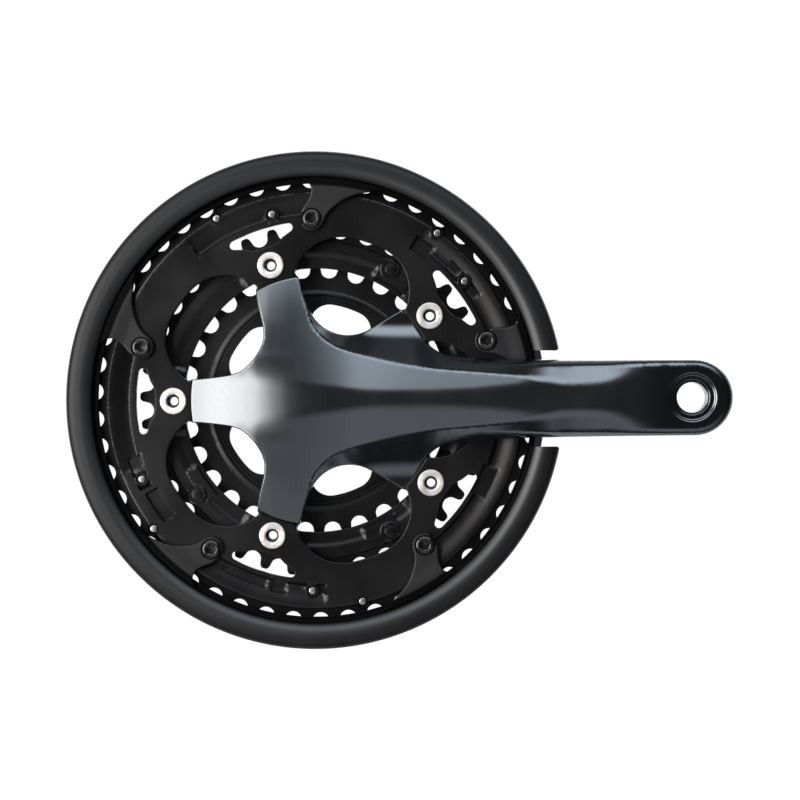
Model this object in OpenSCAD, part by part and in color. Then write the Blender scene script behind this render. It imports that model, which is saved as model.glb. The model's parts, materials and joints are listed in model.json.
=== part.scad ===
// Drive-side bicycle crankset: crank arm and spider in one forging, a pressed-in
// hollow axle, three chainrings, a chain guard, and the external-cup bottom
// bracket that the axle turns in.
// Every module is drawn with the axle along z, outboard side up and the crank
// arm along +x.  in_bike() then stands it up: axle along Y, drive side towards -Y.

/* [Chain and rings] */
// Teeth on the outer ring
outer_teeth = 50; // [49:1:51]
// Teeth on the middle ring
middle_teeth = 39; // [38:1:40]
// Teeth on the inner ring
inner_teeth = 30; // [29:1:31]
// Thickness of every row of teeth
tooth_t = 2.0; // [1.8:0.1:2.2]
// Thickness of the chainring bodies
body_t = 3.0; // [2.8:0.1:3.2]
// Bolt circle radius of the outer and middle rings
bolt_r = 65; // [65:0.5:65.5]
// Bolt circle radius of the inner ring
small_bolt_r = 37; // [37:0.5:37.5]

/* [Crank arm] */
// Axle centre to pedal centre
crank_length = 170; // [165:2.5:175]
// Half the width of the pedal end
pedal_end_r = 17; // [16.8:0.1:17.2]
// Outboard face of the pedal end, from the bike's centre plane
pedal_face_u = 78; // [77:0.5:79]
// Thickness of the pedal end
pedal_end_t = 13; // [12:0.5:13.5]
// Radius of the pedal thread's wall
pedal_thread_r = 6.8; // [6.5:0.05:6.9]

/* [Chain guard] */
// Outer radius of the guard
guard_r = 113.8; // [113:0.1:115]
// Inner radius of the guard
guard_inner_r = 100.4; // [100:0.1:101]
// Half the width of the gap that the crank arm passes through
guard_gap = 21.9; // [21.5:0.1:23]
// Circle radius of the guard's screws
guard_screw_circle = 83; // [82.5:0.1:83.5]

/* [Bottom bracket] */
// Width of the frame shell between the two cups
shell_width = 68; // [67:0.5:69]
// Outer radius of the axle
axle_r = 12; // [11.9:0.05:12]
// Radius of the cups' outside thread
cup_thread_r = 17.4; // [17.3:0.05:17.5]
// Outer radius of the cups
cup_r = 22; // [21.5:0.1:22.5]

/* [Hidden] */
$fn = 96;

// Depths u are measured outboard from the bike's centre plane.
chain_pitch = 12.7;
roller_seat_r = 3.95;
arm_angles = [36, 108, 180, 252, 324];
tab_back_u = 47;
tab_t = 3.5;
outer_back_u = tab_back_u + tab_t;
outer_front_u = outer_back_u + body_t;
middle_back_u = tab_back_u - body_t;
inner_front_u = 39.6;
inner_back_u = inner_front_u - body_t;
hub_back_u = 45.6;
spider_front_u = outer_front_u + 0.8;
spider_r = 57;
tab_end_r = 71.5;
ring_hole_r = 5.05;
tooth_inset = 0.3;
outer_phase = 4.6;
middle_phase = 35.35;
inner_phase = 0.4;
axle_end_u = -65;
axle_socket_u = 57;
spline_r = axle_r - 0.6;
spline_count = 20;
spline_groove = 0.6;
spline_len = 17;
axle_bore_r = 9.8;
cap_thread_r = 9.3;
cap_thread_len = 12;
pedal_end_x = crank_length + 1.4;
guard_tab_front_u = outer_front_u + 2.2;
guard_back_u = 55.6;
guard_tab_t = 1.3;
guard_screw_r = 1.95;
pedal_recess = 0.9;
forging_low_u = 40;
forging_high_u = 90;
hub_r = 24;
boss_r = 6.8;
boss_thread_r = 4;
cup_width = 10.8;
cup_thread_len = 12;
shell_u = shell_width / 2;
ball_r = 1.5875;
ball_count = 16;
ball_circle_r = 15.5;
bearing_w = 7;
bearing_r = 18.5;
bearing_bore_r = 12.5;
bearing_u = shell_u + 3.6;

// ---------------------------------------------------------------- helpers

// Stands a part drawn with the axle along z into the bike's frame.
module in_bike() {
    rotate([90, 0, 0])
        children();
}

// Lays the same piece at each spider arm, at radius r.
module at_arms(r, angles = arm_angles) {
    for (a = angles)
        rotate(a)
            translate([r, 0, 0])
                children();
}

// A tube from u0 to u1.
module tube(r_out, r_in, u0, u1) {
    translate([0, 0, u0])
        difference() {
            cylinder(r = r_out, h = u1 - u0);
            translate([0, 0, -1])
                cylinder(r = r_in, h = u1 - u0 + 2);
        }
}

// A flat shape raised from u0 to u1.
module slab_from(u0, u1) {
    translate([0, 0, u0])
        linear_extrude(u1 - u0)
            children();
}

// A hexagonal key hole of the given width across flats.
module hex_hole(across, u0, u1) {
    translate([0, 0, u0])
        cylinder(r = across / 2 / cos(30), h = u1 - u0, $fn = 6);
}

function pitch_r(teeth) = chain_pitch / 2 / sin(180 / teeth);
function tip_r(teeth) = pitch_r(teeth) + 2.3;
function root_r(teeth) = pitch_r(teeth) - roller_seat_r;
function polar(r, a) = [r * cos(a), r * sin(a)];
function arc(c, r, a0, a1, n) = [for (i = [0:n]) c + polar(r, a0 + (a1 - a0) * i / n)];
function turned(p, a) = [p.x * cos(a) - p.y * sin(a), p.x * sin(a) + p.y * cos(a)];
function mirrored(points) = [for (i = [len(points) - 1:-1:0]) [points[i].x, -points[i].y]];

// ---------------------------------------------------------------- chainrings

// One tooth space, seen with its roller on the +x axis: the flank and tip land
// of the tooth before it, the roller seat, and the flank of the tooth after it.
function tooth_space(teeth) =
    let (pr = pitch_r(teeth), half = 180 / teeth, seat = 58,
         flank = [[2.2, 1.25], [1.1, 2.15]])
    concat(
        [for (f = flank) polar(pr + f[0], -half) + turned([0, f[1]], -half)],
        [for (i = [0:6]) [pr, 0] + polar(roller_seat_r, 180 + seat - i * seat / 3)],
        [for (i = [1, 0]) polar(pr + flank[i][0], half) - turned([0, flank[i][1]], half)]);

module teeth_outline(teeth, phase) {
    polygon([for (k = [0:teeth - 1], p = tooth_space(teeth)) turned(p, phase + 360 / teeth * k)]);
}

// A toothed disc with its tips bevelled on both sides.
module toothed_disc(teeth, phase, u0) {
    bevel = 0.55;
    tip = tip_r(teeth);
    intersection() {
        slab_from(u0, u0 + tooth_t)
            teeth_outline(teeth, phase);
        rotate_extrude()
            polygon([[0, u0 - 1], [tip - 4 * bevel, u0 - 1], [tip - 4 * bevel, u0], [tip, u0 + bevel],
                [tip, u0 + tooth_t - bevel], [tip - 4 * bevel, u0 + tooth_t],
                [tip - 4 * bevel, u0 + tooth_t + 1], [0, u0 + tooth_t + 1]]);
    }
}

// The opening between two neighbouring bolt tabs: a ring sector whose corners
// are rounded by two circles that touch the sector's outer arc.
module gap_between_tabs(reach, corner_r, corner_a, from_r) {
    c = reach - corner_r;
    for (s = [-1, 1])
        rotate(s * corner_a)
            translate([c, 0])
                circle(r = corner_r);
    polygon(concat([polar(from_r, -corner_a)], arc([0, 0], reach, -corner_a, corner_a, 8),
        [polar(from_r, corner_a)]));
}

gap_angles = [for (a = arm_angles) a + 36];
window_r = 82.8;

// The window outboard of each chainring bolt, for a bolt on the +x axis.
module bolt_window() {
    polygon(concat(
        arc([0, 0], window_r, -9.7, 9.7, 8),
        arc(polar(window_r - 2.3, 10.2), 2.3, 15, 175, 6),
        [[75.5, 9.4], [73.4, 6.5], [73.4, -6.5], [75.5, -9.4]],
        arc(polar(window_r - 2.3, -10.2), 2.3, -175, -15, 6)));
}

guard_angles = [for (a = arm_angles) a - 17.3];
outer_pins = [[118.2, 94.6], [102.8, 87.3], [53.5, 94.6], [38.2, 87.3], [218.1, 94.6],
    [204.1, 87.3], [282.8, 94.6], [268.7, 87.3]];
pin_r = 1.6;
drop_pin_circle = 89;
outer_step_r = 95.6;

module outer_chainring() {
    color([0.07, 0.07, 0.075])
        difference() {
            union() {
                toothed_disc(outer_teeth, outer_phase, outer_back_u + tooth_inset);
                slab_from(outer_back_u, outer_front_u)
                    difference() {
                        union() {
                            circle(r = outer_step_r);
                            for (p = outer_pins)
                                translate(polar(p[1], p[0]))
                                    circle(r = 2.9);
                        }
                        circle(r = spider_r + 0.1);
                    }
            }
            slab_from(outer_back_u - 1, outer_front_u + 1) {
                circle(r = spider_r + 0.1);
                for (a = gap_angles)
                    rotate(a)
                        gap_between_tabs(76, 22, 5, 40);
                for (a = arm_angles)
                    rotate(a)
                        bolt_window();
            }
            at_arms(bolt_r)
                translate([0, 0, outer_back_u - 1])
                    cylinder(r = ring_hole_r, h = body_t + 2);
            at_arms(guard_screw_circle, guard_angles)
                translate([0, 0, outer_back_u - 1])
                    cylinder(r = guard_screw_r + 0.05, h = body_t + 2);
            for (p = concat(outer_pins, [[0, drop_pin_circle]]))
                rotate(p[0])
                    translate([p[1], 0, outer_back_u - 1])
                        cylinder(r = pin_r, h = body_t + 2);
            // A shallow dish between the windows and the step, on the outboard face.
            outer_dish();
        }
}

// Shallow pockets in the outer ring's outboard face, between the bolt tabs.
module outer_dish() {
    for (a = gap_angles)
        rotate(a)
            slab_from(outer_front_u - 0.6, outer_front_u + 1)
                polygon(concat(arc([0, 0], 92.5, -17, 12, 12), arc([0, 0], 84.5, 14, -19, 12)));
}

middle_pins = [[60, 69.2], [218, 70], [299, 69.4]];

module middle_chainring() {
    color([0.08, 0.08, 0.085])
        difference() {
            union() {
                toothed_disc(middle_teeth, middle_phase, middle_back_u);
                slab_from(middle_back_u, middle_back_u + body_t)
                    circle(r = 73.2);
            }
            slab_from(middle_back_u - 1, middle_back_u + body_t + 1) {
                circle(r = 56.4);
                for (a = gap_angles)
                    rotate(a)
                        gap_between_tabs(60.7, 3.5, 25, 50);
            }
            // The outboard face is dished between the spider arms.
            for (a = gap_angles)
                rotate(a)
                    slab_from(middle_back_u + body_t - 0.8, middle_back_u + body_t + 1)
                        polygon(concat(arc([0, 0], 67.4, -20, 20, 12), arc([0, 0], 60, 21, -21, 12)));
            at_arms(bolt_r)
                translate([0, 0, middle_back_u - 1])
                    cylinder(r = ring_hole_r, h = body_t + 2);
            for (p = middle_pins)
                rotate(p[0])
                    translate([p[1], 0, middle_back_u - 1])
                        cylinder(r = pin_r, h = body_t + 2);
        }
}

module inner_chainring() {
    color([0.08, 0.08, 0.085])
        difference() {
            union() {
                toothed_disc(inner_teeth, inner_phase, inner_back_u + 0.5);
                slab_from(inner_back_u, inner_front_u)
                    circle(r = 50.3);
            }
            slab_from(inner_back_u - 1, inner_front_u + 1) {
                circle(r = 29.5);
                for (a = gap_angles)
                    rotate(a)
                        gap_between_tabs(44.8, 9, 8.6, 20);
            }
            // A groove in the outboard face, just inside the teeth.
            translate([0, 0, inner_front_u - 0.5])
                tube(48.6, 46.8, 0, 2);
            at_arms(small_bolt_r)
                translate([0, 0, inner_back_u - 1])
                    cylinder(r = boss_thread_r + 0.15, h = body_t + 2);
        }
}

// ---------------------------------------------------------------- crank arm

// Half the outline of the forging, from the pedal end to the arm opposite.
function web_half() = concat(
    [[pedal_end_x, pedal_end_r], [150, 17.1], [130, 17.3], [110, 17.6], [90, 18], [78, 18.4],
        [68, 19.1], [61.5, 20], [57.5, 21.2], [54.6, 22.9], [52.6, 24.3]],
    arc([0, 0], spider_r, 26.2, 46.3, 5),
    arc([15.2, 49.2], 19.4, -55, -155, 14),
    arc([0, 0], spider_r, 96.4, 118.3, 5),
    arc([-40.4, 28.6], 17, -4, -93, 12),
    arc([0, 0], spider_r, 169.6, 180, 3));
// Half the outline of the raised back that runs from the arms into the crank.
function ridge_half() = concat(
    [[pedal_end_x, pedal_end_r - 0.3], [130, 17], [118, 16.9], [108, 16], [98, 14.8], [90, 13.9], [80, 13.2],
        [69, 12.8], [58, 13.2], [48, 14.4], [38, 16.3], [28, 18.7], [19, 21.4], [11, 25],
        [5, 29.3], [0.3, 34.3], [-3, 40.5], [-5.4, 48]],
    arc([0, 0], spider_r - 0.3, 97.8, 117.9, 5),
    arc([-40.7, 28.9], 17.7, -4, -93, 12),
    arc([0, 0], spider_r - 0.3, 169.9, 180, 3));

function closed(half) = concat(half, mirrored(half));

// Height of the centre strip along the arm, half its width, and the fall of
// the shoulders on each side of it, all against x.
strip_height = [[-60, 54], [-50, 55.9], [-25, 60.9], [-10, 63], [10, 64.2], [40, 65.6], [70, 67.9],
    [100, 71], [140, 76.2], [160, pedal_face_u], [200, pedal_face_u]];
strip_width = [[-60, 10], [-25, 9.2], [-12, 8], [0, 6], [20, 3.6], [40, 2.9], [60, 3.3], [80, 4.2],
    [100, 5.4], [120, 6], [135, 8.5], [145, 12], [152, 15], [200, 16]];
shoulder_fall = [[-60, 0.17], [-5, 0.15], [10, 0.22], [30, 0.36], [60, 0.42], [110, 0.34], [140, 0.3],
    [200, 0.3]];
rear_height = [[-60, tab_back_u], [30, tab_back_u], [46, 47.4], [60, 50.8], [75, 54.6], [100, 59],
    [130, 62.8], [crank_length - 22, pedal_face_u - pedal_end_t], [200, pedal_face_u - pedal_end_t]];
web_height = [[-60, spider_front_u], [40, spider_front_u], [60, 56.5], [80, 59.4], [100, 64], [120, 68.5],
    [150, 73.6], [165, pedal_face_u - 2.2], [200, pedal_face_u - 2.2]];

function ridge_u(x, y) = max(spider_front_u,
    lookup(x, strip_height) - lookup(x, shoulder_fall) * max(0, abs(y) - lookup(x, strip_width)));
function web_u(x, y) = lookup(x, web_height);
function rear_u(x, y) = lookup(x, rear_height);

// A solid between two height fields over a grid of stations.
module height_block(xs, ys, top, bottom) {
    nx = len(xs);
    ny = len(ys);
    points = [for (z = [0, 1], x = xs, y = ys) [x, y, z ? top(x, y) : bottom(x, y)]];
    function at(z, i, j) = z * nx * ny + i * ny + j;
    faces = concat(
        [for (i = [0:nx - 2], j = [0:ny - 2], t = [0, 1])
            t ? [at(1, i, j), at(1, i + 1, j + 1), at(1, i + 1, j)]
              : [at(1, i, j), at(1, i, j + 1), at(1, i + 1, j + 1)]],
        [for (i = [0:nx - 2], j = [0:ny - 2], t = [0, 1])
            t ? [at(0, i, j), at(0, i + 1, j), at(0, i + 1, j + 1)]
              : [at(0, i, j), at(0, i + 1, j + 1), at(0, i, j + 1)]],
        [for (i = [0:nx - 2], t = [0, 1])
            t ? [at(0, i, 0), at(1, i + 1, 0), at(0, i + 1, 0)]
              : [at(0, i, 0), at(1, i, 0), at(1, i + 1, 0)]],
        [for (i = [0:nx - 2], t = [0, 1])
            t ? [at(0, i, ny - 1), at(0, i + 1, ny - 1), at(1, i + 1, ny - 1)]
              : [at(0, i, ny - 1), at(1, i + 1, ny - 1), at(1, i, ny - 1)]],
        [for (j = [0:ny - 2], t = [0, 1])
            t ? [at(0, 0, j), at(0, 0, j + 1), at(1, 0, j + 1)]
              : [at(0, 0, j), at(1, 0, j + 1), at(1, 0, j)]],
        [for (j = [0:ny - 2], t = [0, 1])
            t ? [at(0, nx - 1, j), at(1, nx - 1, j + 1), at(0, nx - 1, j + 1)]
              : [at(0, nx - 1, j), at(1, nx - 1, j), at(1, nx - 1, j + 1)]]);
    polyhedron(points, faces, convexity = 8);
}

function both_ways(values) = concat([for (i = [len(values) - 1:-1:0]) -values[i]], values);
ridge_xs = [-58, -46, -34, -22, -10, 4, 18, 32, 46, 60, 74, 88, 102, 116, 130, 140, 148, 156, 165,
    pedal_end_x];
ridge_ys = both_ways([1.5, 3.5, 5.5, 8, 11, 14, 18, 26, 40, 58]);
web_xs = [-58, 30, 40, 46, 60, 68, 75, 80, 90, 100, 115, 130, 148, 158, 165, pedal_end_x];

module forging_body() {
    intersection() {
        slab_from(forging_low_u, forging_high_u)
            polygon(closed(web_half()));
        height_block(web_xs, [-58, 58], function(x, y) web_u(x, y), function(x, y) rear_u(x, y));
    }
    intersection() {
        slab_from(forging_low_u, forging_high_u)
            polygon(closed(ridge_half()));
        height_block(ridge_xs, ridge_ys, function(x, y) ridge_u(x, y),
            function(x, y) rear_u(x, y) + 1);
    }
    translate([pedal_end_x, 0, pedal_face_u - pedal_end_t])
        cylinder(r = pedal_end_r, h = pedal_end_t);
    translate([0, 0, hub_back_u])
        cylinder(r = hub_r, h = 8);
}

// The thin tab at each arm's end, between the outer and middle rings.
module spider_tab() {
    slab_from(tab_back_u, outer_back_u) {
        difference() {
            intersection() {
                circle(r = tab_end_r);
                polygon([[48, -9.6], [56, -9.6], [bolt_r, -8.2], [tab_end_r + 2, -6.5],
                    [tab_end_r + 2, 6.5], [bolt_r, 8.2], [56, 9.6], [48, 9.6]]);
            }
            circle(r = 50);
        }
    }
}

module crank_arm() {
    color([0.13, 0.145, 0.165])
        difference() {
            union() {
                forging_body();
                for (a = arm_angles)
                    rotate(a)
                        spider_tab();
                at_arms(small_bolt_r)
                    translate([0, 0, inner_front_u])
                        cylinder(r = boss_r, h = 12);
            }
            translate([0, 0, hub_back_u - 1])
                cylinder(r = axle_r, h = axle_socket_u - hub_back_u + 1);
            translate([crank_length, 0, pedal_face_u - pedal_end_t - 1])
                cylinder(r = pedal_thread_r, h = pedal_end_t + 2);
            translate([crank_length, 0, pedal_face_u - pedal_recess])
                cylinder(r1 = 10.2, r2 = 10.9, h = pedal_recess + 0.01);
            translate([crank_length, 0, pedal_face_u - pedal_recess - 1.1])
                cylinder(r1 = pedal_thread_r, r2 = pedal_thread_r + 1.1, h = 1.11);
            at_arms(bolt_r)
                translate([0, 0, tab_back_u - 1])
                    cylinder(r = ring_hole_r, h = tab_t + 2);
            at_arms(small_bolt_r)
                translate([0, 0, inner_front_u - 1])
                    cylinder(r = boss_thread_r, h = 9.5);
        }
}

// ---------------------------------------------------------------- axle

module axle() {
    color([0.55, 0.56, 0.58])
        difference() {
            union() {
                translate([0, 0, axle_end_u])
                    cylinder(r1 = spline_r - 0.8, r2 = spline_r, h = 0.8);
                translate([0, 0, axle_end_u + 0.8])
                    cylinder(r = spline_r, h = spline_len);
                translate([0, 0, axle_end_u + spline_len])
                    cylinder(r = axle_r, h = axle_socket_u - axle_end_u - spline_len - 0.2);
            }
            translate([0, 0, axle_end_u - 1])
                cylinder(r = cap_thread_r, h = 200);
            translate([0, 0, axle_end_u + cap_thread_len])
                cylinder(r = axle_bore_r, h = 200);
            for (i = [0:spline_count - 1])
                rotate(360 / spline_count * i)
                    translate([spline_r - 0.5, -spline_groove / 2, axle_end_u - 1])
                        cube([2, spline_groove, spline_len + 1.3]);
        }
}

// ---------------------------------------------------------------- fasteners

head_r = 6.1;
head_t = 1.1;

// Hollow bolt with a hexagon socket, screwed in from the outboard side.
module chainring_bolts() {
    color([0.8, 0.81, 0.82])
        at_arms(bolt_r)
            difference() {
                union() {
                    translate([0, 0, outer_front_u])
                        cylinder(r = head_r, h = head_t);
                    translate([0, 0, outer_front_u - 5.6])
                        cylinder(r = 3.9, h = 5.7);
                }
                hex_hole(5, outer_front_u + head_t - 4, outer_front_u + head_t + 1);
                translate([0, 0, outer_front_u - 6])
                    cylinder(r = 1.9, h = 6);
            }
}

// Sleeve nut from the inboard side, through both rings and the spider tab.
module chainring_nuts() {
    color([0.75, 0.76, 0.78])
        at_arms(bolt_r)
            difference() {
                union() {
                    translate([0, 0, middle_back_u - head_t])
                        cylinder(r = head_r, h = head_t);
                    translate([0, 0, middle_back_u - 0.1])
                        cylinder(r = 5, h = outer_front_u - middle_back_u - 0.6);
                }
                translate([0, 0, middle_back_u - 0.4])
                    cylinder(r = 3.95, h = 12);
                translate([0, 0, middle_back_u - 3])
                    cylinder(r = 2.4, h = 5);
                translate([-head_r - 1, -0.6, middle_back_u - head_t - 1])
                    cube([2 * head_r + 2, 1.2, 1.7]);
            }
}

// Screws of the inner ring, driven from the inboard side.
module inner_ring_bolts() {
    color([0.7, 0.71, 0.73])
        at_arms(small_bolt_r)
            difference() {
                union() {
                    translate([0, 0, inner_back_u - 2.8])
                        cylinder(r = 6.4, h = 2.8);
                    translate([0, 0, inner_back_u - 0.1])
                        cylinder(r = boss_thread_r - 0.05, h = 8.6);
                }
                hex_hole(5, inner_back_u - 3.5, inner_back_u);
            }
}

module guard_screws() {
    color([0.05, 0.05, 0.055])
        at_arms(guard_screw_circle, guard_angles)
            difference() {
                union() {
                    translate([0, 0, guard_tab_front_u - 0.7])
                        cylinder(r = 4.3, h = 1.7);
                    translate([0, 0, guard_tab_front_u + 1])
                        cylinder(r1 = 4.3, r2 = 3.5, h = 0.7);
                    translate([0, 0, outer_back_u])
                        cylinder(r = guard_screw_r, h = 5);
                }
                hex_hole(3, guard_tab_front_u - 0.2, guard_tab_front_u + 3);
            }
}

// Lifting pins riveted through the rings; the round heads stand on the inboard side.
module pins(places, back_u, front_u) {
    for (p = places)
        rotate(p[0])
            translate([p[1], 0, 0]) {
                translate([0, 0, back_u])
                    cylinder(r = pin_r, h = front_u - back_u + 0.25);
                translate([0, 0, back_u - 1.4])
                    cylinder(r = 2.3, h = 1.4);
            }
}

module outer_ring_pins() {
    color([0.66, 0.67, 0.68])
        pins(outer_pins, outer_back_u, outer_front_u);
}

module middle_ring_pins() {
    color([0.5, 0.5, 0.51])
        pins(middle_pins, middle_back_u, middle_back_u + body_t);
}

// Pin behind the crank that keeps a dropped chain out of the gap.
module chain_drop_pin() {
    color([0.1, 0.1, 0.105])
        translate([drop_pin_circle, 0, 0]) {
            translate([0, 0, outer_back_u])
                cylinder(r = pin_r, h = body_t + 0.1);
            translate([0, 0, outer_front_u])
                cylinder(r = 2.6, h = 2.9);
        }
}

// ---------------------------------------------------------------- chain guard

// Section of the guard's rim: an arched wall, open towards the chain.
module guard_section() {
    polygon([[guard_inner_r, guard_back_u], [guard_inner_r, guard_back_u + guard_tab_t],
        [101.6, 58.2], [103.4, 59.3], [105.8, 59.9], [108.2, 59.7], [110.4, 58.7], [112.2, 57.1],
        [113.3, 55], [guard_r, 52.6], [guard_r, 50.9], [guard_r - 1.8, 50.9], [guard_r - 1.9, 52.8],
        [110.8, 55.2], [109, 56.8], [106.8, 57.5], [104.2, 57.1], [102.6, 56.2], [102, guard_back_u]]);
}

// One tab in plan, for a screw on the +x axis: a round eye whose arm leans
// back and flares into the rim.
module tab_plan(reach) {
    c = guard_screw_circle;
    intersection() {
        circle(r = reach);
        polygon(concat(
            arc([c, 0], 5.6, -118, -242, 10),
            [[87.6, 4.2], [90.4, 1.9], [93.6, -0.7], [97, -1.6]],
            arc([0, 0], guard_inner_r + 1.2, -0.9, -19.5, 8),
            [[94.6, -27.2], [93.7, -20.2], [91.6, -14.6], [88, -9.8]]));
    }
}

module chain_guard() {
    color([0.06, 0.06, 0.065])
        difference() {
            union() {
                rotate_extrude()
                    guard_section();
                for (a = guard_angles)
                    rotate(a) {
                        slab_from(outer_front_u, guard_tab_front_u + 0.6)
                            tab_plan(94);
                        slab_from(guard_back_u, guard_back_u + guard_tab_t)
                            tab_plan(guard_inner_r + 2);
                    }
            }
            translate([0, -guard_gap, 40])
                cube([150, 2 * guard_gap, 40]);
            at_arms(guard_screw_circle, guard_angles) {
                translate([0, 0, outer_front_u - 1])
                    cylinder(r = guard_screw_r + 0.2, h = 8);
                translate([0, 0, guard_tab_front_u - 0.7])
                    cylinder(r = 4.6, h = 4);
            }
        }
}

// ---------------------------------------------------------------- bottom bracket

// One cup, drawn on the right side: thread, flange and bearing housing.
module cup_right_way() {
    notch_count = 16;
    difference() {
        union() {
            translate([0, 0, shell_u - cup_thread_len])
                cylinder(r = cup_thread_r, h = cup_thread_len + 1);
            translate([0, 0, shell_u])
                cylinder(r = cup_r, h = cup_width - 0.8);
            translate([0, 0, shell_u + cup_width - 0.8])
                cylinder(r1 = cup_r, r2 = cup_r - 0.8, h = 0.8);
        }
        translate([0, 0, shell_u - cup_thread_len - 1])
            cylinder(r = 15.6, h = 40);
        translate([0, 0, bearing_u])
            cylinder(r = bearing_r, h = 20);
        for (i = [0:notch_count - 1])
            rotate(360 / notch_count * (i + 0.5))
                translate([cup_r + 0.6, 0, shell_u + 1.8])
                    cylinder(r = 2, h = 20);
    }
}

module outer_race() {
    groove_r = ball_r + 0.04;
    rotate_extrude()
        difference() {
            translate([16.9, bearing_u])
                square([bearing_r - 16.9, bearing_w]);
            translate([ball_circle_r, bearing_u + bearing_w / 2])
                circle(r = groove_r);
        }
}

module inner_race() {
    groove_r = ball_r + 0.04;
    rotate_extrude()
        difference() {
            translate([bearing_bore_r, bearing_u])
                square([14.1 - bearing_bore_r, bearing_w]);
            translate([ball_circle_r, bearing_u + bearing_w / 2])
                circle(r = groove_r);
        }
}

module balls() {
    for (i = [0:ball_count - 1])
        rotate(360 / ball_count * i)
            translate([ball_circle_r, 0, bearing_u + bearing_w / 2])
                sphere(r = ball_r);
}

module cage() {
    difference() {
        tube(15.95, 15.1, bearing_u + 1.5, bearing_u + bearing_w - 1.5);
        for (i = [0:ball_count - 1])
            rotate(360 / ball_count * i)
                translate([14, 0, bearing_u + bearing_w / 2])
                    rotate([0, 90, 0])
                        cylinder(r = ball_r + 0.03, h = 4, $fn = 24);
    }
}

module seals() {
    tube(16.85, 14.16, bearing_u + 0.15, bearing_u + 0.75);
    tube(16.85, 14.16, bearing_u + bearing_w - 0.75, bearing_u + bearing_w - 0.15);
}

// Top-hat cover that fills the bearing's bore and shields its face.
module dust_cover() {
    face_u = shell_u + cup_width + 0.15;
    tube(bearing_bore_r - 0.02, axle_r + 0.02, bearing_u, face_u);
    tube(20.6, axle_r + 0.02, face_u, hub_back_u);
}

module inner_sleeve() {
    color([0.1, 0.1, 0.11])
        tube(15.5, 13.9, -(shell_u - 3), shell_u - 3);
}

module sleeve_o_rings() {
    color([0.05, 0.05, 0.05])
        for (s = [-1, 1])
            rotate_extrude()
                translate([16.4, s * (shell_u - cup_thread_len - 0.85)])
                    circle(r = 0.85);
}

module on_left() {
    mirror([0, 0, 1])
        children();
}

cup_color = [0.09, 0.09, 0.1];
race_color = [0.72, 0.73, 0.75];
ball_color = [0.85, 0.86, 0.88];
cage_color = [0.62, 0.5, 0.28];
seal_color = [0.12, 0.12, 0.13];
cover_color = [0.1, 0.1, 0.105];

in_bike() crank_arm();
in_bike() axle();
in_bike() outer_chainring();
in_bike() middle_chainring();
in_bike() inner_chainring();
in_bike() chain_guard();
in_bike() chainring_bolts();
in_bike() chainring_nuts();
in_bike() inner_ring_bolts();
in_bike() guard_screws();
in_bike() outer_ring_pins();
in_bike() middle_ring_pins();
in_bike() chain_drop_pin();
in_bike() color(cup_color) cup_right_way();  // right_cup
in_bike() on_left() color(cup_color) cup_right_way();  // left_cup
in_bike() inner_sleeve();
in_bike() sleeve_o_rings();
in_bike() color(race_color) outer_race();  // right_outer_race
in_bike() on_left() color(race_color) outer_race();  // left_outer_race
in_bike() color(race_color) inner_race();  // right_inner_race
in_bike() on_left() color(race_color) inner_race();  // left_inner_race
in_bike() color(ball_color) balls();  // right_balls
in_bike() on_left() color(ball_color) balls();  // left_balls
in_bike() color(cage_color) cage();  // right_cage
in_bike() on_left() color(cage_color) cage();  // left_cage
in_bike() color(seal_color) seals();  // right_seals
in_bike() on_left() color(seal_color) seals();  // left_seals
in_bike() color(cover_color) dust_cover();  // right_dust_cover
in_bike() on_left() color(cover_color) dust_cover();  // left_dust_cover
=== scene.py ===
"""Drive-side bicycle crankset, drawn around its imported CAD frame.

Plates and the crank arm are built in drawing coordinates, in millimetres: x along
the crank arm, y up, and u outboard from the bike's centre plane.  place() turns
them into the frame's metres, where outboard is -Y and up is +Z.
"""

import json
import math

import bpy
import numpy as np
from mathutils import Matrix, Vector
from mathutils.geometry import delaunay_2d_cdt
from mathutils.kdtree import KDTree


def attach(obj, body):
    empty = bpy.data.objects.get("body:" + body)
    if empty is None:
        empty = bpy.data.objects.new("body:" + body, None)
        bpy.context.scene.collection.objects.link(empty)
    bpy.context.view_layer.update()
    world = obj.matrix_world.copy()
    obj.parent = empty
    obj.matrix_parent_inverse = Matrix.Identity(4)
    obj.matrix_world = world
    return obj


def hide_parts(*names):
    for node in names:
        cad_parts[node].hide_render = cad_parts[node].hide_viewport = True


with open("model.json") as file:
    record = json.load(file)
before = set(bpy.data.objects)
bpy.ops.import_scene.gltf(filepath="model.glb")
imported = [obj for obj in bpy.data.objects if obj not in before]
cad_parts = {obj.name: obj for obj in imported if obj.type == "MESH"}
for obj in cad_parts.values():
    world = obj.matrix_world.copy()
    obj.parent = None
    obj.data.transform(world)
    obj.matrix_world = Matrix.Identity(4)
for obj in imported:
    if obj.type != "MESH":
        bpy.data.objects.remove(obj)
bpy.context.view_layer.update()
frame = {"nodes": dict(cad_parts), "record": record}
nodes = frame["nodes"]

MM = 0.001
ARM_ANGLES = (36, 108, 180, 252, 324)
GAP_ANGLES = tuple(a + 36 for a in ARM_ANGLES)
BOLT_R = 65.0
SMALL_BOLT_R = 37.0
RING_HOLE_R = 5.05

# Each ring's outboard and inboard faces.
OUTER_FRONT_U, OUTER_BACK_U = 53.5, 50.5
MIDDLE_FRONT_U, MIDDLE_BACK_U = 47.0, 44.0
INNER_FRONT_U, INNER_BACK_U = 39.6, 36.6

# ---- plane curves


def polar(r, degrees):
    a = np.radians(degrees)
    return np.stack([r * np.cos(a), r * np.sin(a)], -1)


def arc(centre, r, start, end, step=0.6):
    n = max(2, math.ceil(abs(math.radians(end - start)) * r / step))
    return np.array(centre, float) + polar(r, np.linspace(start, end, n + 1))


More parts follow.
